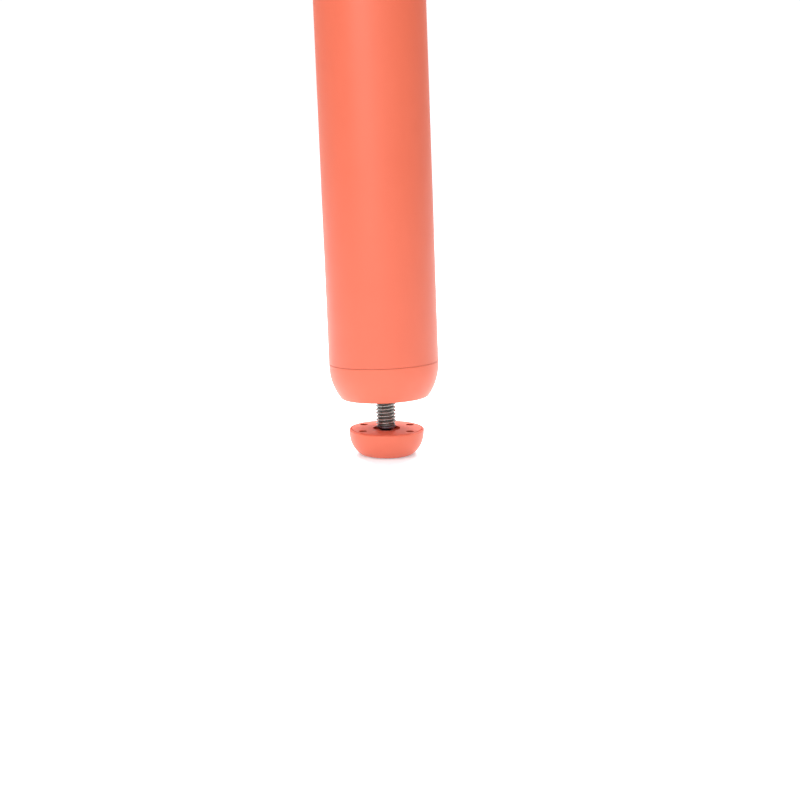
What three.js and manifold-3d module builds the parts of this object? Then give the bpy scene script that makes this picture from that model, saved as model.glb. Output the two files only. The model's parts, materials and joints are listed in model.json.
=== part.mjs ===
// Splayed round furniture leg: a steel tube welded under a mounting plate, closed at its lower
// end by a moulded cap that carries a screw-in levelling foot. Millimetres, +Z up.
// The origin is the middle of the plate's upper face, on the leg's axis. The leg splays towards +X.

import * as THREE from 'three';
import { mergeVertices } from 'three/addons/utils/BufferGeometryUtils.js';
import Module from 'manifold-3d';

const wasm = await Module();
wasm.setup();

// ---- Driving dimensions ----

const overallHeight = 406.4; // underside of the furniture to the floor, 16 in
const splay = THREE.MathUtils.degToRad(3.05); // lean of the leg from upright
const jointGap = 0.3; // clearance left between neighbouring pieces

const tubeRadius = 25.4; // 2 in round tube
const tubeWall = 2;

const plateSize = 90;
const plateThickness = 4;
const plateCorner = 10;
const screwInset = 11; // screw holes in from the plate's edges
const screwHoleRadius = 2.75;
const countersinkRadius = 5.2;
const weldLeg = 5;
const weldToe = 0.4; // blunt edge along both sides of the weld

const capDepth = 16.6; // bowl below the tube's end
const capInset = 5.3; // how far the bowl's side has drawn in at its bottom
const capCurvePower = 2.3;
const capCornerRadius = 1.5;
const capFloor = 4;
const capShell = 3;
const seamRound = 0.4; // small edge round beside the seam
const spigotLength = 18;
const spigotWall = 2;
const finHeight = 0.8;
const finCount = 3;
const hubWall = 3.1;
const hubOverrun = 2; // hub above the insert, with the same bore
const capRibs = 6;
const capRibWidth = 2;

const threadRadius = 4.7625; // 3/8-16 UNC
const threadPitch = 1.5875;
const threadLength = 33;
const exposedThread = 12.2; // between the collar and the cap
const insertWall = 1.54;
const insertLength = 14;
const insertFlangeWidth = 2;
const insertFlangeThickness = 1.5;

const ballRadius = 4;
const neckRadius = 2.2;
const collarStep = 0.3; // collar is this much slimmer than the thread's crests
const collarHeight = 2.45;
const collarLift = 1.55; // collar above the floor of the foot's mouth
const seatWall = 1;
const seatLip = 1; // upper seat stops this far below the ball's top
const seatGap = THREE.MathUtils.degToRad(6.5); // each seat stops this far short of the equator

const footRadius = 17.43;
const footFlare = 5.33; // widest radius less the sole's radius
const footBulge = 3.4; // how far the side's lower handle swings out from the sole
const footBulgeRise = 2.3;
const footDrop = 5.5; // length of the side's upper handle, below the widest point
const footFloor = 1.8; // under the ball's socket
const footHubWall = 2.4;
const footRibs = 6;
const footRibWidth = 1.6;
const rimWidth = 1.33; // widest radius less the retainer's
const rimRound = 0.6;
const hollowFloor = 3.2;
const hollowTaper = 2.6;
const ledgeWidth = 1.5; // what the retainer rests on
const retainerThickness = 2;
const retainerEdge = 0.25; // bevel round its top edge
const retainerProud = 0.1; // retainer stands this far above the rim
const mouthGap = 0.2; // mouth's floor above the upper seat
const mouthDepth = 1.6;
const mouthClearance = 1.84; // round the collar
const windowRadius = 1.7; // four small windows through the retainer
const windowInset = 3;
const windowSpread = 34; // degrees each side of the windows' long axis
const windowAxis = 45; // degrees from +X
const padInset = 1.5; // in from the sole's edge
const padThickness = 1.2;
const padProud = 0.3; // pad stands this far below the moulding

const largeSegments = 36;
const smallSegments = 20;
const threadSegments = 12;

// ---- Values that follow from them ----

const boreRadius = tubeRadius - tubeWall;
const capBottom = -capDepth; // measured from the tube's end
const capFlatRadius = tubeRadius - capInset - capCornerRadius / 2;
const studClearRadius = threadRadius + jointGap;
const threadDepth = threadPitch * 0.6134;
const insertRadius = studClearRadius + insertWall;
const hubRadius = insertRadius + jointGap + hubWall;

const seatInner = ballRadius + jointGap;
const seatOuter = seatInner + seatWall;
const socketRadius = seatOuter + jointGap;
const seatTop = ballRadius - seatLip; // this and the next three are above the ball's centre
const mouthFloor = seatTop + mouthGap;
const collarBottom = mouthFloor + collarLift;
const collarTop = collarBottom + collarHeight;
const collarRadius = threadRadius - collarStep;
const socketMouthRadius = Math.sqrt(socketRadius ** 2 - mouthFloor ** 2);
const splitAngle = Math.asin(jointGap / 2 / socketRadius); // half the base and retainer's split

const pivotHeight = footFloor + socketRadius; // ball's centre above the floor
const retainerTop = pivotHeight + mouthFloor + mouthDepth;
const retainerBottom = retainerTop - retainerThickness;
const retainerRadius = footRadius - rimWidth;
const rimTop = retainerTop - retainerProud;
const footWidestHeight = rimTop - rimRound;
const footHubRadius = socketRadius + footHubWall;
const footSoleRadius = footRadius - footFlare;
const hollowTopRadius = retainerRadius - ledgeWidth;
const padInnerRadius = footHubRadius - padInset;
const padOuterRadius = footSoleRadius - padInset;

const pivotDepth = (overallHeight - pivotHeight) / Math.cos(splay); // down the leg's axis
const tubeEnd = -pivotDepth + collarTop + exposedThread + capDepth; // in the leg's own frame

// ---- Solids ----

// Turns a closed three.js geometry into a manifold solid that faces outwards.
function solid(geometry) {
  const bare = geometry.clone();
  bare.deleteAttribute('normal');
  bare.deleteAttribute('uv');
  const merged = mergeVertices(bare, 1e-4);
  const position = merged.attributes.position;
  const corners = [];
  let volume = 0;
  const a = new THREE.Vector3();
  const b = new THREE.Vector3();
  const c = new THREE.Vector3();
  for (let i = 0; i < merged.index.count; i += 3) {
    const triangle = [0, 1, 2].map((k) => merged.index.getX(i + k));
    if (new Set(triangle).size < 3) continue;
    a.fromBufferAttribute(position, triangle[0]);
    b.fromBufferAttribute(position, triangle[1]);
    c.fromBufferAttribute(position, triangle[2]);
    volume += a.dot(b.cross(c)) / 6;
    corners.push(...triangle);
  }
  if (volume < 0) corners.reverse();
  const vertProperties = new Float32Array(position.array);
  const triVerts = new Uint32Array(corners);
  return new wasm.Manifold(new wasm.Mesh({ numProp: 3, vertProperties, triVerts }));
}

// Turns a manifold solid back into a geometry with flat facets.
function geometryOf(body) {
  const mesh = body.getMesh();
  const geometry = new THREE.BufferGeometry();
  geometry.setAttribute('position', new THREE.BufferAttribute(mesh.vertProperties, 3));
  geometry.setIndex(new THREE.BufferAttribute(mesh.triVerts, 1));
  const flat = geometry.toNonIndexed();
  flat.computeVertexNormals();
  return flat;
}

// Spins a closed outline of [radius, height] points about Z.
function turned(outline, segments) {
  const points = outline.map(([radius, height]) => new THREE.Vector2(radius, height));
  if (points[0].x > 0 || points.at(-1).x > 0) points.push(points[0].clone());
  return solid(new THREE.LatheGeometry(points, segments).rotateX(Math.PI / 2));
}

// A plain upright cylinder between two heights.
function rod(radius, bottom, top, segments = smallSegments) {
  const geometry = new THREE.CylinderGeometry(radius, radius, top - bottom, segments);
  return solid(geometry.rotateX(Math.PI / 2).translate(0, 0, (bottom + top) / 2));
}

// Points on a circular arc in the outline's plane; angles in radians from the radius axis.
function arc(centreRadius, centreHeight, radius, from, to, steps) {
  const points = [];
  for (let i = 0; i <= steps; i++) {
    const angle = from + ((to - from) * i) / steps;
    points.push([centreRadius + radius * Math.cos(angle), centreHeight + radius * Math.sin(angle)]);
  }
  return points;
}

// Copies of a solid spread evenly round Z, as a list.
function around(body, count, phase = 0) {
  const step = 360 / count;
  return Array.from({ length: count }, (unused, i) => body.rotate([0, 0, phase + i * step]));
}

const joined = (bodies) => bodies.reduce((sum, body) => sum.add(body));
const cutBy = (body, tools) => tools.reduce((rest, tool) => rest.subtract(tool), body);

// ---- Materials ----

const powderCoat = { color: 0xf4846a, roughness: 0.5, metalness: 0 };
const mouldedCoral = { color: 0xf2826a, roughness: 0.42, metalness: 0 };
const zincSteel = { color: 0x9a9189, roughness: 0.38, metalness: 0.9 };
const acetal = { color: 0xe8e4da, roughness: 0.35, metalness: 0 };
const rubber = { color: 0x2c2a28, roughness: 0.85, metalness: 0 };

function piece(name, body, look) {
  const mesh = new THREE.Mesh(geometryOf(body), new THREE.MeshStandardMaterial(look));
  mesh.name = name;
  return mesh;
}

// ---- Mounting plate and weld, level under the furniture ----

function mountingPlate() {
  const half = plateSize / 2;
  const inner = half - plateCorner;
  const outline = new THREE.Shape();
  outline.absarc(inner, inner, plateCorner, 0, Math.PI / 2);
  outline.absarc(-inner, inner, plateCorner, Math.PI / 2, Math.PI);
  outline.absarc(-inner, -inner, plateCorner, Math.PI, Math.PI * 1.5);
  outline.absarc(inner, -inner, plateCorner, Math.PI * 1.5, Math.PI * 2);
  const blank = new THREE.ExtrudeGeometry(outline, {
    depth: plateThickness,
    bevelEnabled: false,
    curveSegments: 5,
  });
  const depth = countersinkRadius - screwHoleRadius;
  const below = -plateThickness - 1;
  const hole = turned([
    [0, below],
    [countersinkRadius + 1, below],
    [screwHoleRadius, -plateThickness + depth],
    [screwHoleRadius, 1],
    [0, 1],
  ], smallSegments);
  const reach = (plateSize / 2 - screwInset) * Math.SQRT2;
  const holes = around(hole.translate([reach, 0, 0]), 4, 45);
  return cutBy(solid(blank.translate(0, 0, -plateThickness)), holes);
}

// Concave fillet weld round the tube's top. It is level like the plate, and the leaning tube
// passes through it.
function plateWeld() {
  const top = -plateThickness - jointGap;
  const inner = tubeRadius - tubeWall / 2;
  const fillet = arc(tubeRadius + weldLeg, top - weldLeg, weldLeg, Math.PI, Math.PI / 2, 4);
  const outline = [
    [inner, top],
    [inner, top - weldLeg - weldToe],
    [tubeRadius + weldToe, top - weldLeg - weldToe],
    ...fillet.slice(1, -1).map(([radius, height]) => [radius + weldToe, height - weldToe]),
    [tubeRadius + weldLeg + weldToe, top - weldToe],
    [tubeRadius + weldLeg + weldToe, top],
  ];
  const offset = -top * Math.tan(splay);
  const ring = turned(outline, largeSegments).translate([offset, 0, 0]);
  const passage = rod(tubeRadius + jointGap, -40, 40, largeSegments);
  return ring.subtract(passage.rotate([0, THREE.MathUtils.radToDeg(-splay), 0]));
}

// ---- Tube, in the leg's own frame ----

// Everything above the plate's underside, leaning back so that it is level once the leg is splayed.
function abovePlate() {
  const height = 60;
  const block = new THREE.BoxGeometry(3 * tubeRadius, 3 * tubeRadius, height);
  block.translate(0, 0, height / 2 - plateThickness - jointGap);
  return solid(block.rotateY(splay));
}

function legTube() {
  const overrun = 10;
  const wall = turned([
    [boreRadius, tubeEnd],
    [tubeRadius - seamRound, tubeEnd],
    [tubeRadius, tubeEnd + seamRound],
    [tubeRadius, overrun],
    [boreRadius, overrun],
  ], largeSegments);
  return wall.subtract(abovePlate());
}

// ---- End cap, measured from the tube's end ----

function capSide() {
  const steps = 7;
  const last = 1 - (0.6 * capCornerRadius) / capDepth;
  const points = [];
  for (let i = 0; i <= steps; i++) {
    const share = (last * i) / steps;
    points.push([tubeRadius - capInset * share ** capCurvePower, capBottom * share]);
  }
  return points.slice(1);
}

function endCap() {
  const finRadius = boreRadius - jointGap;
  const spigotOuter = finRadius - finHeight;
  const spigotInner = spigotOuter - spigotWall;
  const shoulder = -jointGap;
  const floor = capBottom + capFloor;
  const fins = [];
  const finSpacing = spigotLength / (finCount + 1);
  for (let i = 1; i <= finCount; i++) {
    const foot = finSpacing * (i - 0.4);
    fins.push([spigotOuter, foot], [finRadius, foot + 0.4], [spigotOuter, foot + 2.6]);
  }
  const shell = turned([
    [0, capBottom],
    [capFlatRadius, capBottom],
    ...capSide().reverse(),
    [tubeRadius, shoulder - seamRound],
    [tubeRadius - seamRound, shoulder],
    [finRadius - 0.2, shoulder],
    [spigotOuter, 0.6],
    ...fins,
    [spigotOuter, spigotLength - 1],
    [spigotOuter - 0.8, spigotLength],
    [spigotInner, spigotLength],
    [spigotInner, shoulder - capShell],
    [capFlatRadius - capShell, floor],
    [0, floor],
  ], largeSegments);
  const hubTop = capBottom + insertLength + hubOverrun;
  const hub = rod(hubRadius, capBottom + 1, hubTop);
  const ribSpan = capFlatRadius - capShell + 1 - hubRadius / 2;
  const ribTop = shoulder - capShell - 1;
  const rib = new THREE.BoxGeometry(ribSpan, capRibWidth, ribTop - capBottom - 1);
  rib.translate(hubRadius / 2 + ribSpan / 2, 0, (ribTop + capBottom + 1) / 2);
  const ribs = around(solid(rib), capRibs);
  const flangeRadius = insertRadius + insertFlangeWidth;
  const seat = [
    rod(flangeRadius + jointGap, capBottom - 1, capBottom + insertFlangeThickness + jointGap),
    rod(insertRadius + jointGap, capBottom - 1, hubTop + 1),
  ];
  return cutBy(joined([shell, hub, ...ribs]), seat);
}

// Flanged nut pressed into the cap's hub from below. Its bore is left plain round the stud's crests.
function threadedInsert() {
  const top = capBottom + insertLength;
  const flangeTop = capBottom + insertFlangeThickness;
  const lead = 0.6;
  const grooveDepth = 0.6;
  const grooves = [];
  for (const share of [0.3, 0.65]) {
    const height = flangeTop + share * (top - flangeTop);
    grooves.push([insertRadius, height - 0.9], [insertRadius - grooveDepth, height - 0.5]);
    grooves.push([insertRadius - grooveDepth, height + 0.5], [insertRadius, height + 0.9]);
  }
  return turned([
    [studClearRadius, capBottom + lead],
    [studClearRadius + lead, capBottom],
    [insertRadius + insertFlangeWidth, capBottom],
    [insertRadius + insertFlangeWidth, flangeTop],
    [insertRadius, flangeTop],
    ...grooves,
    [insertRadius, top - lead],
    [insertRadius - lead, top],
    [studClearRadius, top],
  ], smallSegments);
}

// ---- Swivel stud and its seats, measured from the ball's centre ----

// A right-hand thread: a grid of points in which each row climbs by a pitch in a turn. The rows
// take the profile's corners in order, and a row's end meets the row one pitch further up.
// Each ragged end is fanned to a point on the axis.
function thread(bottom, top) {
  const root = threadRadius - threadDepth;
  const profile = [[root, 0], [root, 0.25], [threadRadius, 0.56], [threadRadius, 0.69]];
  const perPitch = profile.length;
  const spare = 2 * threadPitch;
  const turns = Math.ceil((top - bottom + spare) / threadPitch) + 1;
  const lastRow = turns * perPitch;
  const points = [];
  for (let row = 0; row <= lastRow + perPitch; row++) {
    const [radius, share] = profile[row % perPitch];
    const climb = Math.floor(row / perPitch) + share;
    for (let column = 0; column < threadSegments; column++) {
      const turn = column / threadSegments;
      const angle = turn * 2 * Math.PI;
      const height = bottom - spare + (climb + turn) * threadPitch;
      points.push(radius * Math.cos(angle), radius * Math.sin(angle), height);
    }
  }
  const at = (row, column) => {
    const wrapped = column === threadSegments;
    return (wrapped ? row + perPitch : row) * threadSegments + (wrapped ? 0 : column);
  };
  const triangles = [];
  for (let row = 0; row < lastRow; row++) {
    for (let column = 0; column < threadSegments; column++) {
      const right = column + 1;
      triangles.push(at(row, column), at(row, right), at(row + 1, right));
      triangles.push(at(row, column), at(row + 1, right), at(row + 1, column));
    }
  }
  for (const [row, flip] of [[0, true], [lastRow, false]]) {
    const edge = [];
    for (let column = 0; column <= threadSegments; column++) edge.push(at(row, column));
    for (let step = perPitch - 1; step > 0; step--) edge.push(at(row + step, 0));
    const centre = points.length / 3;
    points.push(0, 0, points[edge[0] * 3 + 2] + threadPitch / 2);
    edge.forEach((corner, i) => {
      const next = edge[(i + 1) % edge.length];
      triangles.push(centre, flip ? next : corner, flip ? corner : next);
    });
  }
  const geometry = new THREE.BufferGeometry();
  geometry.setAttribute('position', new THREE.Float32BufferAttribute(points, 3));
  geometry.setIndex(triangles);
  return solid(geometry);
}

function glideStud() {
  const threadTop = collarTop + threadLength;
  const chamfer = 1;
  const core = turned([
    [0, collarTop - 0.2],
    [threadRadius + 1, collarTop - 0.2],
    [threadRadius + 1, threadTop - chamfer - 1],
    [threadRadius - chamfer, threadTop],
    [0, threadTop],
  ], smallSegments);
  const neckHeight = Math.sqrt(ballRadius ** 2 - neckRadius ** 2);
  const neckAngle = Math.atan2(neckHeight, neckRadius);
  const round = 0.4;
  const shank = turned([
    ...arc(0, 0, ballRadius, -Math.PI / 2, neckAngle, 9),
    [neckRadius, collarBottom - 0.6],
    [collarRadius - round, collarBottom],
    [collarRadius, collarBottom + round],
    [collarRadius, collarTop - round],
    [collarRadius - round, collarTop],
    [0, collarTop],
  ], smallSegments);
  return thread(collarTop, threadTop).intersect(core).add(shank);
}

function ballSeatLower() {
  const from = -Math.PI / 2;
  return turned([
    ...arc(0, 0, seatOuter, from, -seatGap, 5),
    ...arc(0, 0, seatInner, -seatGap, from, 5),
  ], smallSegments);
}

function ballSeatUpper() {
  return turned([
    ...arc(0, 0, seatOuter, seatGap, Math.asin(seatTop / seatOuter), 3),
    ...arc(0, 0, seatInner, Math.asin(seatTop / seatInner), seatGap, 3),
  ], smallSegments);
}

// ---- Foot, measured from the floor ----

function footSide() {
  const curve = new THREE.CubicBezierCurve(
    new THREE.Vector2(footSoleRadius, padProud),
    new THREE.Vector2(footSoleRadius + footBulge, padProud + footBulgeRise),
    new THREE.Vector2(footRadius, footWidestHeight - footDrop),
    new THREE.Vector2(footRadius, footWidestHeight),
  );
  return curve.getPoints(7).map((point) => [point.x, point.y]);
}

function glideBase() {
  const pocket = retainerRadius + jointGap;
  const rim = arc(footRadius - rimRound, footWidestHeight, rimRound, 0, Math.PI / 2, 4);
  const split = pivotHeight - jointGap / 2;
  const ledge = retainerBottom - jointGap;
  const padRecess = padThickness + jointGap;
  const shell = turned([
    [0, padProud],
    [padInnerRadius - jointGap, padProud],
    [padInnerRadius - jointGap, padRecess],
    [padOuterRadius + jointGap, padRecess],
    [padOuterRadius + jointGap, padProud],
    ...footSide(),
    ...rim.slice(1),
    [pocket, rimTop],
    [pocket, ledge],
    [hollowTopRadius, ledge],
    [hollowTopRadius - hollowTaper, hollowFloor],
    [footHubRadius, hollowFloor],
    [footHubRadius, split],
    ...arc(0, pivotHeight, socketRadius, -splitAngle, -Math.PI / 2, 6),
  ], largeSegments);
  const ribLength = hollowTopRadius - hollowTaper - footHubRadius + 2;
  const ribHeight = split - hollowFloor + 1;
  const rib = new THREE.BoxGeometry(ribLength, footRibWidth, ribHeight);
  rib.translate(footHubRadius - 1 + ribLength / 2, 0, hollowFloor - 1 + ribHeight / 2);
  return joined([shell, ...around(solid(rib), footRibs, 180 / footRibs)]);
}

function glideRetainer() {
  const split = pivotHeight + jointGap / 2;
  const mouth = pivotHeight + mouthFloor;
  const openAngle = Math.atan2(mouthFloor, socketMouthRadius);
  const mouthRadius = collarRadius + mouthClearance;
  const bossRadius = footHubRadius - 0.4;
  const disc = turned([
    ...arc(0, pivotHeight, socketRadius, splitAngle, openAngle, 3),
    [mouthRadius, mouth],
    [mouthRadius, retainerTop - retainerEdge],
    [mouthRadius + retainerEdge, retainerTop],
    [retainerRadius - retainerEdge, retainerTop],
    [retainerRadius, retainerTop - retainerEdge],
    [retainerRadius, retainerBottom],
    [bossRadius, retainerBottom],
    [bossRadius, split],
  ], largeSegments);
  const window = rod(windowRadius, retainerBottom - 1, retainerTop + 1, smallSegments);
  const windows = [];
  for (const side of [0, 180]) {
    for (const spread of [-windowSpread, windowSpread]) {
      const angle = windowAxis + side + spread;
      windows.push(window.translate([retainerRadius - windowInset, 0, 0]).rotate([0, 0, angle]));
    }
  }
  return cutBy(disc, windows);
}

function solePad() {
  return turned([
    [padInnerRadius, 0],
    [padOuterRadius, 0],
    [padOuterRadius, padThickness],
    [padInnerRadius, padThickness],
  ], largeSegments);
}

// ---- Assembly ----

const leg = new THREE.Group();
leg.rotation.y = -splay;
leg.add(piece('leg_tube', legTube(), powderCoat));

const capGroup = new THREE.Group();
capGroup.position.z = tubeEnd;
capGroup.add(piece('end_cap', endCap(), mouldedCoral));
capGroup.add(piece('threaded_insert', threadedInsert(), zincSteel));
leg.add(capGroup);

const leveller = new THREE.Group();
leveller.position.z = -pivotDepth;
leveller.add(piece('glide_stud', glideStud(), zincSteel));
leveller.add(piece('ball_seat_lower', ballSeatLower(), acetal));
leg.add(leveller);

const pivotReach = pivotDepth * Math.sin(splay);
const foot = new THREE.Group();
foot.position.set(pivotReach, 0, -overallHeight);
foot.add(piece('glide_base', glideBase(), mouldedCoral));
foot.add(piece('glide_retainer', glideRetainer(), mouldedCoral));
foot.add(piece('sole_pad', solePad(), rubber));

const upperSeat = piece('ball_seat_upper', ballSeatUpper(), acetal);
upperSeat.position.z = pivotHeight;
foot.add(upperSeat);

const furnitureLeg = new THREE.Group();
furnitureLeg.add(piece('mounting_plate', mountingPlate(), powderCoat));
furnitureLeg.add(piece('plate_weld', plateWeld(), powderCoat));
furnitureLeg.add(leg);
furnitureLeg.add(foot);

export default furnitureLeg;
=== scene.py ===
import json
import math
import random

import bmesh
import bpy
from mathutils import Matrix, Vector


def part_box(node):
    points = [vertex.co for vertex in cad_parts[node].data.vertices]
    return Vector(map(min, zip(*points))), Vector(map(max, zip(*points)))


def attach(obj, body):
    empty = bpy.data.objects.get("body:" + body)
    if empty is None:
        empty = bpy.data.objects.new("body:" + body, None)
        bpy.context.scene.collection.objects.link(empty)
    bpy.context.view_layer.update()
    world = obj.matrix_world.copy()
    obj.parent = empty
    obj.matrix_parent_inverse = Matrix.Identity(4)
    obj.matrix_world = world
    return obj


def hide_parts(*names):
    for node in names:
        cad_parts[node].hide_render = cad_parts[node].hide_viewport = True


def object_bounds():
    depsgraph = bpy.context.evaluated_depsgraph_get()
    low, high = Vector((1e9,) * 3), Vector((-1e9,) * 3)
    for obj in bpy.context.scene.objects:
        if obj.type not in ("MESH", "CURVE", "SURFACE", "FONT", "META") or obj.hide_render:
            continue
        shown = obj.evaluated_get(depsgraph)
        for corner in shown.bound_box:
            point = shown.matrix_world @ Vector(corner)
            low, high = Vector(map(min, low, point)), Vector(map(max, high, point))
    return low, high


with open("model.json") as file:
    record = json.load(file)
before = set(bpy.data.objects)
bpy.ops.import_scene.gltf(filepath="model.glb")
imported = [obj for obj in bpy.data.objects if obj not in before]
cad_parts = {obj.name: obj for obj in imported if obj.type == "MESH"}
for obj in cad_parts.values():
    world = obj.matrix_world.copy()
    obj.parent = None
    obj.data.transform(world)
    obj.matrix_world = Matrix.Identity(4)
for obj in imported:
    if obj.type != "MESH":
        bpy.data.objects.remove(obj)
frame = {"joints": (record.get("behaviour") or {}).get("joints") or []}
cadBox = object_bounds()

mm = 0.001
clearance = 0.3  # mm, between neighbouring pieces
joints = {joint["name"]: joint for joint in frame["joints"]}
pivot = Vector(joints["stud_turn"]["pos_m"])
down = Vector(joints["leveller_height"]["axis"]).normalized()
splay = math.atan2(down.x, -down.z)
floorZ = cadBox[0][2]
legFrame = Matrix.Translation(pivot) @ Matrix.Rotation(-splay, 4, "Y")  # ball centre, +Z up the leg
footFrame = Matrix.Translation((pivot.x, pivot.y, floorZ))  # middle of the sole, upright
tubeRadius = (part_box("leg_tube")[1][1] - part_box("leg_tube")[0][1]) / 2
seam = (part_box("leg_tube")[0][2] - pivot.z + tubeRadius * math.sin(splay)) / math.cos(splay)


def makePiece(name, mesh, place, material, creaseAngle=35):
    obj = bpy.data.objects.new(name, mesh)
    bpy.context.scene.collection.objects.link(obj)
    obj.matrix_world = place
    mesh.materials.append(material)
    for face in mesh.polygons:
        face.use_smooth = True
    mesh.set_sharp_from_angle(angle=math.radians(creaseAngle))
    return obj


def polar(r, angle, z):
    return (r * math.cos(angle), r * math.sin(angle), z)


def finishMesh(name, bm):
    bmesh.ops.recalc_face_normals(bm, faces=bm.faces)
    mesh = bpy.data.meshes.new(name)
    bm.to_mesh(mesh)
    bm.free()
    return mesh


def boxMesh(name, size, middle):
    bm = bmesh.new()
    bmesh.ops.create_cube(bm, size=1)
    bmesh.ops.scale(bm, vec=[side * mm for side in size], verts=bm.verts)
    bmesh.ops.translate(bm, vec=[place * mm for place in middle], verts=bm.verts)
    return finishMesh(name, bm)


def roundCorners(corners, steps=6):
    # corners are (radius, height, fillet); a fillet of 0 stays sharp
    points = []
    count = len(corners)
    for i, (r, z, fillet) in enumerate(corners):
        here = Vector((r, z))
        if fillet == 0:
            points.append((r, z))
            continue
        before = Vector(corners[i - 1][:2]) - here
        after = Vector(corners[(i + 1) % count][:2]) - here
        turn = before.angle(after)
        reach = min(fillet / math.tan(turn / 2), before.length * 0.49, after.length * 0.49)
        radius = reach * math.tan(turn / 2)
        bisector = (before.normalized() + after.normalized()).normalized()
        centre = here + bisector * radius / math.sin(turn / 2)
        start = here + before.normalized() * reach - centre
        end = here + after.normalized() * reach - centre
        for k in range(steps + 1):
            mix = k / steps
            spoke = start.lerp(end, mix)
            spoke = spoke.normalized() * radius if radius else spoke
            points.append(tuple(centre + spoke))
    return points


def spinMesh(name, outline, segments=144):
    # outline is a closed loop of (radius, height), or an open one that starts and ends on the axis
    bm = bmesh.new()
    rings = []
    for r, z in outline:
        if r < 1e-7:
            rings.append([bm.verts.new((0, 0, z))])
            continue
        ring = []
        for i in range(segments):
            ring.append(bm.verts.new(polar(r, 2 * math.pi * i / segments, z)))
        rings.append(ring)
    closed = len(rings[0]) > 1
    for k in range(len(rings) if closed else len(rings) - 1):
        low, high = rings[k], rings[(k + 1) % len(rings)]
        for i in range(segments):
            j = (i + 1) % segments
            corners = [low[i % len(low)], low[j % len(low)], high[j % len(high)], high[i % len(high)]]
            unique = list(dict.fromkeys(corners))
            if len(unique) > 2:
                bm.faces.new(unique)
    return finishMesh(name, bm)


def scaled(points):
    return [(r * mm, z * mm) for r, z in points]


def arcPoints(centreR, centreZ, radius, start, end, steps):
    points = []
    for i in range(steps + 1):
        angle = math.radians(start + (end - start) * i / steps)
        points.append((centreR + radius * math.cos(angle), centreZ + radius * math.sin(angle)))
    return points


def carve(obj, cutters, operation="DIFFERENCE"):
    # cuts the solids in cutters from obj for good, or joins them to it, then throws them away
    for cutter in cutters:
        change = obj.modifiers.new("carve", "BOOLEAN")
        change.operation = operation
        change.solver = "EXACT"
        change.object = cutter
    bpy.context.view_layer.update()
    evaluated = obj.evaluated_get(bpy.context.evaluated_depsgraph_get())
    mesh = bpy.data.meshes.new_from_object(evaluated)
    obj.modifiers.clear()
    obj.data = mesh
    for cutter in cutters:
        bpy.data.objects.remove(cutter)
    for face in mesh.polygons:
        face.use_smooth = True
    mesh.set_sharp_from_angle(angle=math.radians(30))


def looseSolid(name, mesh, place):
    obj = bpy.data.objects.new(name, mesh)
    bpy.context.scene.collection.objects.link(obj)
    obj.matrix_world = place
    return obj


def settle(obj, body, slot, *nodes):
    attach(obj, body)
    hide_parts(*nodes)


def groupNodes(name, inputs, outputs):
    group = bpy.data.node_groups.new(name, "ShaderNodeTree")
    for label, kind, value in inputs:
        socket = group.interface.new_socket(label, in_out="INPUT", socket_type=kind)
        if value is not None:
            socket.default_value = value
    for label, kind in outputs:
        group.interface.new_socket(label, in_out="OUTPUT", socket_type=kind)
    source = group.nodes.new("NodeGroupInput")
    sink = group.nodes.new("NodeGroupOutput")
    return group, group.nodes, group.links, source, sink


def makeOrangePeel():
    # height and roughness of a sprayed or moulded skin: long soft waves with a finer grain on them
    group, nodes, links, source, sink = groupNodes(
        "orangePeel",
        [("Wave Scale", "NodeSocketFloat", 900), ("Grain Scale", "NodeSocketFloat", 5200),
         ("Grain Amount", "NodeSocketFloat", 0.35), ("Base Roughness", "NodeSocketFloat", 0.45),
         ("Roughness Spread", "NodeSocketFloat", 0.06)],
        [("Height", "NodeSocketFloat"), ("Roughness", "NodeSocketFloat")],
    )
    place = nodes.new("ShaderNodeTexCoord")
    wave = nodes.new("ShaderNodeTexNoise")
    wave.inputs["Detail"].default_value = 1.5
    links.new(place.outputs["Object"], wave.inputs["Vector"])
    links.new(source.outputs["Wave Scale"], wave.inputs["Scale"])
    grain = nodes.new("ShaderNodeTexNoise")
    grain.inputs["Detail"].default_value = 2
    links.new(place.outputs["Object"], grain.inputs["Vector"])
    links.new(source.outputs["Grain Scale"], grain.inputs["Scale"])
    weight = nodes.new("ShaderNodeMath")
    weight.operation = "MULTIPLY"
    links.new(grain.outputs["Fac"], weight.inputs[0])
    links.new(source.outputs["Grain Amount"], weight.inputs[1])
    total = nodes.new("ShaderNodeMath")
    total.operation = "ADD"
    links.new(wave.outputs["Fac"], total.inputs[0])
    links.new(weight.outputs[0], total.inputs[1])
    links.new(total.outputs[0], sink.inputs["Height"])
    patch = nodes.new("ShaderNodeTexNoise")
    patch.inputs["Scale"].default_value = 70
    patch.inputs["Detail"].default_value = 3
    links.new(place.outputs["Object"], patch.inputs["Vector"])
    centred = nodes.new("ShaderNodeMath")
    centred.operation = "SUBTRACT"
    centred.inputs[1].default_value = 0.5
    links.new(patch.outputs["Fac"], centred.inputs[0])
    spread = nodes.new("ShaderNodeMath")
    spread.operation = "MULTIPLY_ADD"
    links.new(centred.outputs[0], spread.inputs[0])
    links.new(source.outputs["Roughness Spread"], spread.inputs[1])
    links.new(source.outputs["Base Roughness"], spread.inputs[2])
    links.new(spread.outputs[0], sink.inputs["Roughness"])
    return group


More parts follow.
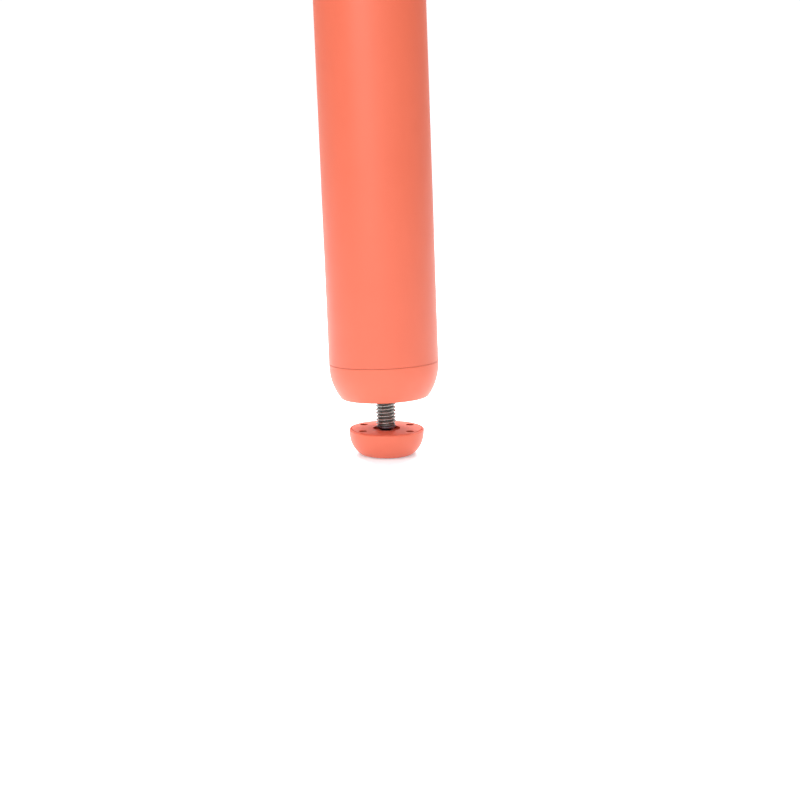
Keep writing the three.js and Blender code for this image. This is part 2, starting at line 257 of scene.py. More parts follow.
def makeColourDrift():
    # a colour that wanders a little over the surface, with a few darker specks
    group, nodes, links, source, sink = groupNodes(
        "colourDrift",
        [("Colour", "NodeSocketColor", (0.8, 0.1, 0.05, 1)),
         ("Deep Colour", "NodeSocketColor", (0.7, 0.08, 0.04, 1)),
         ("Drift", "NodeSocketFloat", 0.3), ("Specks", "NodeSocketFloat", 0.15)],
        [("Colour", "NodeSocketColor")],
    )
    place = nodes.new("ShaderNodeTexCoord")
    cloud = nodes.new("ShaderNodeTexNoise")
    cloud.inputs["Scale"].default_value = 45
    cloud.inputs["Detail"].default_value = 4
    links.new(place.outputs["Object"], cloud.inputs["Vector"])
    amount = nodes.new("ShaderNodeMath")
    amount.operation = "MULTIPLY"
    links.new(cloud.outputs["Fac"], amount.inputs[0])
    links.new(source.outputs["Drift"], amount.inputs[1])
    drift = nodes.new("ShaderNodeMix")
    drift.data_type = "RGBA"
    links.new(amount.outputs[0], drift.inputs["Factor"])
    links.new(source.outputs["Colour"], drift.inputs["A"])
    links.new(source.outputs["Deep Colour"], drift.inputs["B"])
    cell = nodes.new("ShaderNodeTexVoronoi")
    cell.inputs["Scale"].default_value = 700
    links.new(place.outputs["Object"], cell.inputs["Vector"])
    dot = nodes.new("ShaderNodeMapRange")
    dot.inputs["From Min"].default_value = 0.16
    dot.inputs["From Max"].default_value = 0.05
    links.new(cell.outputs["Distance"], dot.inputs["Value"])
    speck = nodes.new("ShaderNodeMath")
    speck.operation = "MULTIPLY"
    links.new(dot.outputs["Result"], speck.inputs[0])
    links.new(source.outputs["Specks"], speck.inputs[1])
    final = nodes.new("ShaderNodeMix")
    final.data_type = "RGBA"
    links.new(speck.outputs[0], final.inputs["Factor"])
    links.new(drift.outputs["Result"], final.inputs["A"])
    links.new(source.outputs["Deep Colour"], final.inputs["B"])
    links.new(final.outputs["Result"], sink.inputs["Colour"])
    return group


peelGroup = makeOrangePeel()
driftGroup = makeColourDrift()


def startMaterial(name):
    material = bpy.data.materials.new(name)
    material.use_nodes = True
    nodes, links = material.node_tree.nodes, material.node_tree.links
    shader = nodes["Principled BSDF"]
    return material, nodes, links, shader


def addGroup(nodes, group, **values):
    node = nodes.new("ShaderNodeGroup")
    node.node_tree = group
    for label, value in values.items():
        node.inputs[label.replace("_", " ")].default_value = value
    return node


def addBump(nodes, links, shader, height, strength, distance):
    bump = nodes.new("ShaderNodeBump")
    bump.inputs["Strength"].default_value = strength
    bump.inputs["Distance"].default_value = distance
    links.new(height, bump.inputs["Height"])
    links.new(bump.outputs["Normal"], shader.inputs["Normal"])


coral = {
    "colour": (0.735, 0.125, 0.060, 1), "deep": (0.64, 0.095, 0.042, 1),
    # the moulded colour is lighter and paler than the powder coat: painted sheen and painted extra light on
    # the cap and foot, over the plastic's own coral
    "moulded": (0.79, 0.158, 0.090, 1), "mouldedDeep": (0.68, 0.12, 0.062, 1),
}


def makePowderCoat():
    material, nodes, links, shader = startMaterial("powderCoat")
    skin = addGroup(nodes, peelGroup, Wave_Scale=850, Grain_Scale=4200, Grain_Amount=0.4,
                    Base_Roughness=0.46, Roughness_Spread=0.08)
    tint = addGroup(nodes, driftGroup, Colour=coral["colour"], Deep_Colour=coral["deep"],
                    Drift=0.35, Specks=0.12)
    links.new(tint.outputs["Colour"], shader.inputs["Base Color"])
    links.new(skin.outputs["Roughness"], shader.inputs["Roughness"])
    shader.inputs["Specular IOR Level"].default_value = 0.6
    addBump(nodes, links, shader, skin.outputs["Height"], 0.25, 0.00006)
    return material


def makeMouldedCoral():
    material, nodes, links, shader = startMaterial("mouldedCoral")
    skin = addGroup(nodes, peelGroup, Wave_Scale=420, Grain_Scale=6500, Grain_Amount=0.25,
                    Base_Roughness=0.42, Roughness_Spread=0.05)
    # this colour carries painted sheen and painted extra light on top of the plastic's coral
    tint = addGroup(nodes, driftGroup, Colour=coral["moulded"], Deep_Colour=coral["mouldedDeep"],
                    Drift=0.25, Specks=0.05)
    links.new(tint.outputs["Colour"], shader.inputs["Base Color"])
    links.new(skin.outputs["Roughness"], shader.inputs["Roughness"])
    shader.inputs["Specular IOR Level"].default_value = 0.35
    shader.inputs["Subsurface Weight"].default_value = 0.05
    shader.inputs["Subsurface Radius"].default_value = (0.003, 0.0009, 0.0005)
    addBump(nodes, links, shader, skin.outputs["Height"], 0.2, 0.00004)
    return material


zinc = {
    # the dark colour is painted shade laid into the thread's roots
    "bright": (0.46, 0.45, 0.43, 1), "dark": (0.10, 0.088, 0.08, 1), "blackened": (0.12, 0.108, 0.12, 1),
    "rootFrom": 4.25 * mm, "rootTo": 3.85 * mm,  # distance from the axis at which the painted shade in the thread's roots fades in
    "smooth": 0.2, "rough": 0.55, "lineScale": (60, 60, 9000),
    "blend": 0.05 * mm,
    "stud": 6.3 * mm,  # the stud is blackened up to the top of its collar
    "insert": -1,  # below all of the insert, so none of it is blackened
}


def makeZincSteel(name, darkBelow):
    # plated steel: dull grey, with painted shade darkening the thread's roots in patches and more roughness
    # there, with fine turning lines;
    # everything under the height darkBelow is blackened
    material, nodes, links, shader = startMaterial(name)
    place = nodes.new("ShaderNodeTexCoord")
    parts = nodes.new("ShaderNodeSeparateXYZ")
    links.new(place.outputs["Object"], parts.inputs[0])
    flat = nodes.new("ShaderNodeCombineXYZ")
    links.new(parts.outputs["X"], flat.inputs["X"])
    links.new(parts.outputs["Y"], flat.inputs["Y"])
    fromAxis = nodes.new("ShaderNodeVectorMath")
    fromAxis.operation = "LENGTH"
    links.new(flat.outputs[0], fromAxis.inputs[0])
    root = nodes.new("ShaderNodeMapRange")
    root.inputs["From Min"].default_value = zinc["rootFrom"]
    root.inputs["From Max"].default_value = zinc["rootTo"]
    links.new(fromAxis.outputs["Value"], root.inputs["Value"])
    # noise that makes the painted shade in the roots patchy
    rootShadeNoise = nodes.new("ShaderNodeTexNoise")
    rootShadeNoise.inputs["Scale"].default_value = 380
    rootShadeNoise.inputs["Detail"].default_value = 5
    links.new(place.outputs["Object"], rootShadeNoise.inputs["Vector"])
    patchy = nodes.new("ShaderNodeMapRange")
    patchy.inputs["To Min"].default_value = 0.6
    patchy.inputs["To Max"].default_value = 1.1
    links.new(rootShadeNoise.outputs["Fac"], patchy.inputs["Value"])
    # painted shade in the thread's roots, which also sets the rougher finish there
    rootShadeMask = nodes.new("ShaderNodeMath")
    rootShadeMask.operation = "MULTIPLY"
    links.new(root.outputs["Result"], rootShadeMask.inputs[0])
    links.new(patchy.outputs["Result"], rootShadeMask.inputs[1])
    tone = nodes.new("ShaderNodeMix")
    tone.data_type = "RGBA"
    tone.inputs["A"].default_value = zinc["bright"]
    tone.inputs["B"].default_value = zinc["dark"]
    links.new(rootShadeMask.outputs[0], tone.inputs["Factor"])
    collar = nodes.new("ShaderNodeMapRange")
    collar.inputs["From Min"].default_value = darkBelow + zinc["blend"]
    collar.inputs["From Max"].default_value = darkBelow - zinc["blend"]
    links.new(parts.outputs["Z"], collar.inputs["Value"])
    blackened = nodes.new("ShaderNodeMix")
    blackened.data_type = "RGBA"
    blackened.inputs["B"].default_value = zinc["blackened"]
    links.new(collar.outputs["Result"], blackened.inputs["Factor"])
    links.new(tone.outputs["Result"], blackened.inputs["A"])
    links.new(blackened.outputs["Result"], shader.inputs["Base Color"])
    shader.inputs["Metallic"].default_value = 1
    rough = nodes.new("ShaderNodeMapRange")
    rough.inputs["To Min"].default_value = zinc["smooth"]
    rough.inputs["To Max"].default_value = zinc["rough"]
    links.new(rootShadeMask.outputs[0], rough.inputs["Value"])
    links.new(rough.outputs["Result"], shader.inputs["Roughness"])
    stretch = nodes.new("ShaderNodeMapping")
    stretch.inputs["Scale"].default_value = zinc["lineScale"]
    links.new(place.outputs["Object"], stretch.inputs["Vector"])
    lines = nodes.new("ShaderNodeTexNoise")
    lines.inputs["Scale"].default_value = 1
    lines.inputs["Detail"].default_value = 3
    links.new(stretch.outputs[0], lines.inputs["Vector"])
    addBump(nodes, links, shader, lines.outputs["Fac"], 0.25, 0.00003)
    return material


def makePlainPlastic(name, colour, roughness, waveScale):
    material, nodes, links, shader = startMaterial(name)
    skin = addGroup(nodes, peelGroup, Wave_Scale=waveScale, Grain_Scale=5000, Grain_Amount=0.4,
                    Base_Roughness=roughness, Roughness_Spread=0.1)
    deep = tuple(channel * 0.75 for channel in colour[:3]) + (1,)
    tint = addGroup(nodes, driftGroup, Colour=colour, Deep_Colour=deep, Drift=0.3, Specks=0.1)
    links.new(tint.outputs["Colour"], shader.inputs["Base Color"])
    links.new(skin.outputs["Roughness"], shader.inputs["Roughness"])
    addBump(nodes, links, shader, skin.outputs["Height"], 0.3, 0.00005)
    return material


powderCoat = makePowderCoat()
mouldedCoral = makeMouldedCoral()
studSteel = makeZincSteel("studSteel", zinc["stud"])
insertSteel = makeZincSteel("insertSteel", zinc["insert"])
acetal = makePlainPlastic("acetal", (0.033, 0.033, 0.033, 1), 0.35, 500)
rubber = makePlainPlastic("rubber", (0.022, 0.021, 0.02, 1), 0.75, 1500)
print("finishes ready")


tube = {"wall": 2 * mm, "edgeRound": 0.08 * mm, "edgeSteps": 5, "segments": 256}


def makeTube():
    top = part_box("leg_tube")[1][2]
    inner = tubeRadius - tube["wall"]
    rounding = tube["edgeRound"]
    steps = tube["edgeSteps"]
    rows = [(tubeRadius - rounding, 0)]
    for k in range(1, steps + 1):
        angle = math.pi / 2 * k / steps
        rows.append((tubeRadius - rounding * (1 - math.sin(angle)), rounding * (1 - math.cos(angle))))
    bm = bmesh.new()
    rings = []

    def addRing(radius, height):
        # a height of None ends the tube at the plate, cut level although the tube leans
        ring = []
        for i in range(tube["segments"]):
            angle = 2 * math.pi * i / tube["segments"]
            x, y = radius * math.cos(angle), radius * math.sin(angle)
            z = height if height is not None else (top - pivot.z - x * math.sin(splay)) / math.cos(splay)
            ring.append(bm.verts.new((x, y, z)))
        rings.append(ring)

    for radius, height in rows:
        addRing(radius, seam + height)
    for share in (0.25, 0.5, 0.75):
        addRing(tubeRadius, seam + share * (top - pivot.z - seam))
    addRing(tubeRadius, None)
    addRing(inner, None)
    addRing(inner, seam)
    count = tube["segments"]
    for low, high in zip(rings, rings[1:] + rings[:1]):
        for i in range(count):
            bm.faces.new((low[i], low[(i + 1) % count], high[(i + 1) % count], high[i]))
    obj = makePiece("tubeWall", finishMesh("tubeWall", bm), legFrame, powderCoat)
    settle(obj, "leg", "powder_coat", "leg_tube")


makeTube()


plate = {
    "thickness": 4, "corner": 10, "cornerSteps": 12, "edgeRound": 0.5, "edgeSteps": 4,
    "holeInset": 11, "holeRadius": 2.75, "holeEase": 0.3, "headRadius": 5.2,
}


def makePlate():
    low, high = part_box("mounting_plate")
    half = (high[0] - low[0]) / 2 / mm
    corner, edge, thick = plate["corner"], plate["edgeRound"], plate["thickness"]
    profile = [(edge, 0)]
    for k in range(1, plate["edgeSteps"] + 1):
        angle = math.pi / 2 * k / plate["edgeSteps"]
        profile.append((edge * (1 - math.sin(angle)), -edge * (1 - math.cos(angle))))
    profile += [(inset, -thick - z) for inset, z in reversed(profile)]
    bm = bmesh.new()
    rings = []
    for inset, z in profile:
        ring = []
        for quarter in range(4):
            cx = (half - corner) * (1 if quarter in (0, 3) else -1)
            cy = (half - corner) * (1 if quarter in (0, 1) else -1)
            for k in range(plate["cornerSteps"] + 1):
                angle = math.radians(90 * quarter + 90 * k / plate["cornerSteps"])
                x = cx + (corner - inset) * math.cos(angle)
                y = cy + (corner - inset) * math.sin(angle)
                ring.append(bm.verts.new((x * mm, y * mm, z * mm)))
        rings.append(ring)
    count = len(rings[0])
    for upper, lower in zip(rings, rings[1:]):
        for i in range(count):
            bm.faces.new((upper[i], upper[(i + 1) % count], lower[(i + 1) % count], lower[i]))
    bm.faces.new(rings[0])
    bm.faces.new(rings[-1])
    obj = makePiece("topPlate", finishMesh("topPlate", bm), Matrix.Identity(4), powderCoat)
    hole, ease = plate["holeRadius"], plate["holeEase"]
    sink = plate["headRadius"] - hole
    outline = scaled([
        (0, -thick - 1), (plate["headRadius"] + 1, -thick - 1), (hole, -thick + sink),
        (hole, -ease), (hole + ease * 2, ease), (0, ease),
    ])
    reach = half - plate["holeInset"]
    cutters = []
    for x, y in ((1, 1), (-1, 1), (-1, -1), (1, -1)):
        place = Matrix.Translation((x * reach * mm, y * reach * mm, 0))
        cutters.append(looseSolid("holeCutter", spinMesh("holeCutter", outline, 64), place))
    carve(obj, cutters)
    settle(obj, "leg", "powder_coat", "mounting_plate")


makePlate()


weld = {
    "leg": 5, "toe": 0.4, "crown": 0.35, "ripples": 62, "rippleHeight": 0.16, "rippleShape": 1.6,
    "lag": 1.6,  # bends each ripple into a crescent
    "unevenness": 0.05, "hair": 0.05, "innerBand": 2,
}


def makeWeld():
    # one bead laid round the tube: a fillet with crescent ripples across it
    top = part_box("plate_weld")[1][2]
    across, perRipple = 10, 8
    around = weld["ripples"] * perRipple
    centreX = -top * math.tan(splay)
    inside = tubeRadius / mm
    bm = bmesh.new()
    rings = []
    chooser = random.Random(5)
    wobble = [chooser.uniform(-1, 1) for _ in range(weld["ripples"])]
    for i in range(around):
        angle = 2 * math.pi * i / around
        ring = []
        for k in range(across + 1):
            t = k / across
            tilt = math.pi - t * math.pi / 2
            reach = inside + weld["leg"] + weld["leg"] * math.cos(tilt)
            height = -weld["leg"] + weld["leg"] * math.sin(tilt)
            lag = weld["lag"] * (t - 0.5) ** 2
            phase = (i / perRipple + lag) % 1
            number = int(i / perRipple + lag) % weld["ripples"]
            lift = weld["rippleHeight"] * (1 - abs(2 * phase - 1) ** weld["rippleShape"])
            lift += weld["unevenness"] * wobble[number]
            lift = (lift + weld["crown"]) * math.sin(math.pi * t)
            reach += -lift * math.cos(tilt)
            height += -lift * math.sin(tilt)
            reach += weld["toe"] + weld["hair"]
            height -= weld["toe"]
            ring.append((reach, height))
        outline = [(inside + clearance, ring[0][1] - weld["hair"])] + ring
        outline += [(ring[-1][0], 0), (inside + clearance, 0)]
        verts = []
        for reach, height in outline:
            drift = (-height * mm) * math.tan(splay)  # the inner side follows the leaning tube
            follow = 1 if reach < inside + weld["innerBand"] else 0.5
            x = centreX + reach * mm * math.cos(angle) + drift * follow
            verts.append(bm.verts.new((x, reach * mm * math.sin(angle), top + height * mm)))
        rings.append(verts)
    count = len(rings[0])
    for here, there in zip(rings, rings[1:] + rings[:1]):
        for k in range(count):
            n = (k + 1) % count
            bm.faces.new((here[k], here[n], there[n], there[k]))
    obj = makePiece("weldBead", finishMesh("weldBead", bm), Matrix.Identity(4), powderCoat, 50)
    settle(obj, "leg", "powder_coat", "plate_weld")


makeWeld()
print("tube, plate and weld built")


cap = {
    "depth": 16.6, "inset": 5.3, "curvePower": 2.3, "curveSteps": 30,
    "corner": 1.5, "cornerStart": 0.6, "cornerSteps": 9, "shoulder": 0.15, "seamRound": 0.08,
    "floor": 4, "shell": 3, "spigotLength": 18, "spigotWall": 2,
    "fins": 3, "finHeight": 0.8, "finRise": 0.4, "finRun": 2.6,
    "hubRadius": 10, "hubTop": -0.6, "ribs": 6, "ribWidth": 2, "seatRadius": 6.9,
    "flangeRadius": 8.9, "flangeDepth": 1.8,
}


def makeCap():
    radius = tubeRadius / mm
    bottom = -cap["depth"]
    shoulder = -cap["shoulder"]
    flat = radius - cap["inset"] - cap["corner"] / 2
    side = []
    steps = cap["curveSteps"]
    last = 1 - cap["cornerStart"] * cap["corner"] / cap["depth"]
    for i in range(1, steps + 1):
        share = last * i / steps
        side.append((radius - cap["inset"] * share ** cap["curvePower"], bottom * share))
    end = side[-1]
    beforeEnd = side[-2]
    slope = math.atan2(end[1] - beforeEnd[1], end[0] - beforeEnd[0])
    corner = []
    bendFrom = Vector(end)
    bendTo = Vector((flat, bottom))
    heading = Vector((math.cos(slope), math.sin(slope)))
    meet = bendFrom + heading * ((bottom - end[1]) / heading.y)
    for k in range(1, cap["cornerSteps"] + 1):
        t = k / cap["cornerSteps"]
        corner.append(tuple(bendFrom * (1 - t) ** 2 + meet * 2 * t * (1 - t) + bendTo * t * t))
    fin = radius - tube["wall"] / mm - clearance
    outer = fin - cap["finHeight"]
    inner = outer - cap["spigotWall"]
    lead = [
        (flat - cap["shell"], bottom + cap["floor"], 0.8), (inner, shoulder - cap["shell"], 1.5),
        (inner, cap["spigotLength"], 0.4), (outer, cap["spigotLength"], 0.8),
    ]
    spacing = cap["spigotLength"] / (cap["fins"] + 1)
    for i in range(cap["fins"], 0, -1):
        heel = spacing * (i - 0.4)
        lead += [(outer, heel + cap["finRun"], 0.3), (fin, heel + cap["finRise"], 0.15), (outer, heel, 0.2)]
    lead += [(outer, 0.6, 0.3), (fin - 0.2, shoulder, 0.3)]
    rounding = cap["seamRound"]
    edge = arcPoints(radius - rounding, shoulder - rounding, rounding, 90, 0, 6)
    outline = [(0, bottom + cap["floor"])]
    bends = [(0, bottom + cap["floor"], 0)] + lead + [(radius - rounding, shoulder, 0)]
    outline += roundCorners(bends)[1:-1]
    outline += edge
    outline += [point for point in side if point[1] < shoulder - rounding - 0.2]
    outline += corner + [(0, bottom)]
    place = legFrame @ Matrix.Translation((0, 0, seam))
    obj = makePiece("endCap", spinMesh("endCap", scaled(outline), 192), place, mouldedCoral)
    hub = scaled([
        (0, bottom + 1), (cap["hubRadius"], bottom + 1), (cap["hubRadius"], cap["hubTop"] - 0.4),
        (cap["hubRadius"] - 0.4, cap["hubTop"]), (0, cap["hubTop"]),
    ])
    carve(obj, [looseSolid("hub", spinMesh("hub", hub, 96), place)], "UNION")
    ribs = []
    ribStart, ribEnd = cap["hubRadius"] / 2, flat - cap["shell"] + 1
    ribLow, ribHigh = bottom + 1, shoulder - cap["shell"] - 1
    size = (ribEnd - ribStart, cap["ribWidth"], ribHigh - ribLow)
    middle = ((ribEnd + ribStart) / 2, 0, (ribHigh + ribLow) / 2)
    for i in range(cap["ribs"]):
        turn = Matrix.Rotation(2 * math.pi * i / cap["ribs"], 4, "Z")
        ribs.append(looseSolid("rib", boxMesh("rib", size, middle), place @ turn))
    carve(obj, ribs, "UNION")
    ledge = bottom + cap["flangeDepth"]
    bore = scaled([
        (0, bottom - 1), (cap["flangeRadius"], bottom - 1), (cap["flangeRadius"], ledge),
        (cap["seatRadius"], ledge), (cap["seatRadius"], cap["hubTop"] + 1), (0, cap["hubTop"] + 1),
    ])
    carve(obj, [looseSolid("bore", spinMesh("bore", bore, 96), place)])
    settle(obj, "leg", "moulded_coral", "end_cap")


makeCap()


insert = {
    "radius": 6.6, "length": 14, "flangeRadius": 8.6, "flange": 1.5, "bore": 5.06, "ease": 0.6,
    "grooves": (0.3, 0.65), "grooveDepth": 0.6, "grooveFloor": 0.5, "grooveMouth": 0.9,
    "knurls": 44, "knurlDepth": 0.22,
}


def makeInsert():
    bottom = -cap["depth"]
    top = bottom + insert["length"]
    body, bore, ease = insert["radius"], insert["bore"], insert["ease"]
    flangeRadius, flangeTop = insert["flangeRadius"], bottom + insert["flange"]
    corners = [
        (bore, bottom + ease, 0), (bore + ease, bottom, 0.1), (flangeRadius, bottom, 0.25),
        (flangeRadius, flangeTop, 0.25), (body, flangeTop, 0.15),
    ]
    floor = body - insert["grooveDepth"]
    mouthHalf, floorHalf = insert["grooveMouth"], insert["grooveFloor"]
    for share in insert["grooves"]:
        height = flangeTop + share * (insert["length"] - insert["flange"])
        corners += [(body, height - mouthHalf, 0.1), (floor, height - floorHalf, 0.1)]
        corners += [(floor, height + floorHalf, 0.1), (body, height + mouthHalf, 0.1)]
    corners += [(body, top - ease, 0.1), (body - ease, top, 0.1), (bore, top, 0.1)]
    outline = roundCorners(corners, 3)
    mesh = spinMesh("pressInsert", scaled(outline), insert["knurls"] * 4)
    for vert in mesh.vertices:  # knurled bands between the grooves
        x, y, z = vert.co
        reach = math.hypot(x, y)
        between = (flangeTop + 0.4) * mm < z < (top - 0.5) * mm
        if reach > (body - 0.05) * mm and between:
            angle = math.atan2(y, x)
            dip = insert["knurlDepth"] * mm * (0.5 - 0.5 * math.cos(angle * insert["knurls"]))
            vert.co.x -= dip * x / reach
            vert.co.y -= dip * y / reach
    obj = makePiece("pressInsert", mesh, legFrame @ Matrix.Translation((0, 0, seam)), insertSteel)
    settle(obj, "leg", "zinc_steel", "threaded_insert")


makeInsert()


stud = {
    "radius": 4.7625, "pitch": 1.5875, "depth": 0.974, "length": 33.95, "tip": 1.0,
    "ball": 4, "neck": 2.2, "collar": 4.46, "collarLow": 4.75, "collarHigh": 6.25, "start": 0.5,
    "crest": 0.08, "rootHalf": 0.11,  # the thread's flats, in pitches
    "rootShare": 0.93,  # share of the depth at which the root rounds off
    "runOut": 0.9, "around": 72, "perPitch": 18,
}


def threadRadius(phase):
    # a 60 degree rolled thread: rounded root, straight flanks, small flat on the crest
    crest, rootHalf, share = stud["crest"], stud["rootHalf"], stud["rootShare"]
    away = abs(phase - 0.5) * 2
    if away < crest * 2:
        return stud["radius"]
    if away > 1 - rootHalf * 2:
        sink = (away - (1 - rootHalf * 2)) / (rootHalf * 2)
        return stud["radius"] - stud["depth"] * (share + (1 - share) * math.sin(sink * math.pi / 2))
    slide = (away - crest * 2) / (1 - rootHalf * 2 - crest * 2)
    return stud["radius"] - stud["depth"] * share * slide


def makeStud():
    neckZ = math.sqrt(stud["ball"] ** 2 - stud["neck"] ** 2)
    neckAngle = math.degrees(math.atan2(neckZ, stud["neck"]))
    lower = arcPoints(0, 0, stud["ball"], -90, neckAngle, 26)
    lower[0] = (0, -stud["ball"])
    collar, low, high = stud["collar"], stud["collarLow"], stud["collarHigh"]
    root = stud["radius"] - stud["depth"]
    corners = [
        (stud["neck"], neckZ, 0), (stud["neck"], low - 0.6, 0.2),
        (collar - 0.35, low, 0.15), (collar, low + 0.35, 0.15),
        (collar, high - 0.3, 0.15), (collar - 0.3, high, 0.1), (root, high, 0),
    ]
    lower += roundCorners(corners, 4)[1:]
    top = high + stud["length"]
    bm = bmesh.new()
    around = stud["around"]
    rings = []
    for r, z in lower:
        if r == 0:
            rings.append([bm.verts.new((0, 0, z * mm))])
            continue
        ring = []
        for i in range(around):
            ring.append(bm.verts.new(polar(r * mm, 2 * math.pi * i / around, z * mm)))
        rings.append(ring)
    rows = int(stud["length"] / stud["pitch"] * stud["perPitch"])
    for row in range(1, rows + 1):
        z = high + stud["length"] * row / rows
        ring = []
        runOut = min(1, (z - high) / stud["runOut"])
        limit = stud["radius"] - max(0, z - (top - stud["tip"] - 0.2))
        for i in range(around):
            turn = i / around
            r = threadRadius((z / stud["pitch"] - turn + stud["start"]) % 1)
            r = root + (r - root) * runOut
            r = min(r, limit)
            ring.append(bm.verts.new(polar(r * mm, 2 * math.pi * turn, z * mm)))
        rings.append(ring)
    rings.append([bm.verts.new((0, 0, top * mm))])
    for under, over in zip(rings, rings[1:]):
        for i in range(around):
            j = (i + 1) % around
            corners = [under[i % len(under)], under[j % len(under)]]
            corners += [over[j % len(over)], over[i % len(over)]]
            bm.faces.new(list(dict.fromkeys(corners)))
    obj = makePiece("levelStud", finishMesh("levelStud", bm), legFrame, studSteel, 50)
    settle(obj, "stud", "zinc_steel", "glide_stud")


makeStud()
print("cap, insert and stud built")


seat = {"inner": 4.3, "outer": 5.3, "gap": 6.5, "top": 3.0}


def makeSeats():
    gap = seat["gap"]
    lower = arcPoints(0, 0, seat["outer"], -90, -gap, 24) + arcPoints(0, 0, seat["inner"], -gap, -90, 24)
    lower[0], lower[-1] = (0, -seat["outer"]), (0, -seat["inner"])
    obj = makePiece("lowerSeat", spinMesh("lowerSeat", scaled(lower), 96), legFrame, acetal)
    settle(obj, "lower_seat", "acetal", "ball_seat_lower")
    outerTop = math.degrees(math.asin(seat["top"] / seat["outer"]))
    innerTop = math.degrees(math.asin(seat["top"] / seat["inner"]))
    upper = arcPoints(0, 0, seat["outer"], gap, outerTop, 12)
    upper += arcPoints(0, 0, seat["inner"], innerTop, gap, 12)
    place = footFrame @ Matrix.Translation((0, 0, pivot.z - floorZ))
    obj = makePiece("upperSeat", spinMesh("upperSeat", scaled(upper), 96), place, acetal)
    settle(obj, "upper_seat", "acetal", "ball_seat_upper")


makeSeats()


foot = {
    "radius": 17.43, "widest": 11.5, "drop": 5.5, "sole": 12.1, "soleRound": 0.25, "bulge": 3.4,
    "bulgeRise": 2.3, "rimTop": 12.1, "rimRound": 0.6, "rimSlope": 0.4,
    "pivot": 7.4, "socket": 5.6, "splitAngle": 1.5, "hub": 8, "hollowFloor": 3.2, "hollowTop": 14.6,
    "hollowTaper": 2.6, "ribs": 6, "ribWidth": 1.6,
    "lid": 16.25, "lidGap": 0.12, "lidTop": 12.2, "lidBottom": 10.2, "lidRound": 0.1, "boss": 7.6,
    "mouth": 6.3, "mouthStep": 0.6, "mouthFloor": 3.2, "lip": 0.25, "lipSlope": 0.3,
    "window": 1.85, "windowStep": 0.8, "windowFlare": 0.06, "windowReach": 13.1, "windowSpread": 34,
    "windowAxis": 45, "padIn": 6.5, "padOut": 10.6, "pad": 1.2, "proud": 0.3,
}


def bezierPoints(p0, p1, p2, p3, steps):
    points = []
    for i in range(steps + 1):
        t = i / steps
        a, b, c, d = (1 - t) ** 3, 3 * t * (1 - t) ** 2, 3 * t * t * (1 - t), t ** 3
        points.append(tuple(a * p0[k] + b * p1[k] + c * p2[k] + d * p3[k] for k in (0, 1)))
    return points


def makeFootBase():
    proud, sole, radius, widest = foot["proud"], foot["sole"], foot["radius"], foot["widest"]
    lowHandle = (sole + foot["bulge"], proud + foot["bulgeRise"])
    side = bezierPoints((sole, proud), lowHandle, (radius, widest - foot["drop"]), (radius, widest), 28)
    pocket = foot["lid"] + foot["lidGap"]
    rimRound = foot["rimRound"]
    rim = arcPoints(radius - rimRound, widest, rimRound, 0, 90, 10)[1:]
    rim += [(pocket + foot["rimSlope"], foot["rimTop"]), (pocket, foot["rimTop"] - foot["rimSlope"])]
    ledge = foot["lidBottom"] - clearance
    split = foot["pivot"] - clearance / 2
    recess = foot["pad"] + clearance
    recessIn, recessOut = foot["padIn"] - clearance, foot["padOut"] + clearance
    hollowEdge, hollowFloor = foot["hollowTop"] - foot["hollowTaper"], foot["hollowFloor"]
    outline = [
        (0, proud), (recessIn, proud), (recessIn, recess), (recessOut, recess), (recessOut, proud),
        (sole - foot["soleRound"], proud),
    ]
    outline += side[1:] + rim
    outline += [
        (pocket, ledge), (foot["hollowTop"], ledge), (hollowEdge, hollowFloor),
        (foot["hub"], hollowFloor), (foot["hub"], split),
    ]
    socket = arcPoints(0, foot["pivot"], foot["socket"], -foot["splitAngle"], -90, 20)
    socket[-1] = (0, foot["pivot"] - foot["socket"])
    mesh = spinMesh("footBase", scaled(outline + socket), 192)
    obj = makePiece("footBase", mesh, footFrame, mouldedCoral)
    ribs = []
    start, end = foot["hub"] - 1, hollowEdge + 1
    size = (end - start, foot["ribWidth"], split - hollowFloor + 1)
    middle = ((end + start) / 2, 0, (hollowFloor - 1 + split) / 2)
    for i in range(foot["ribs"]):
        turn = Matrix.Rotation(2 * math.pi * (i + 0.5) / foot["ribs"], 4, "Z")
        ribs.append(looseSolid("footRib", boxMesh("footRib", size, middle), footFrame @ turn))
    carve(obj, ribs, "UNION")
    settle(obj, "foot", "moulded_coral", "glide_base")


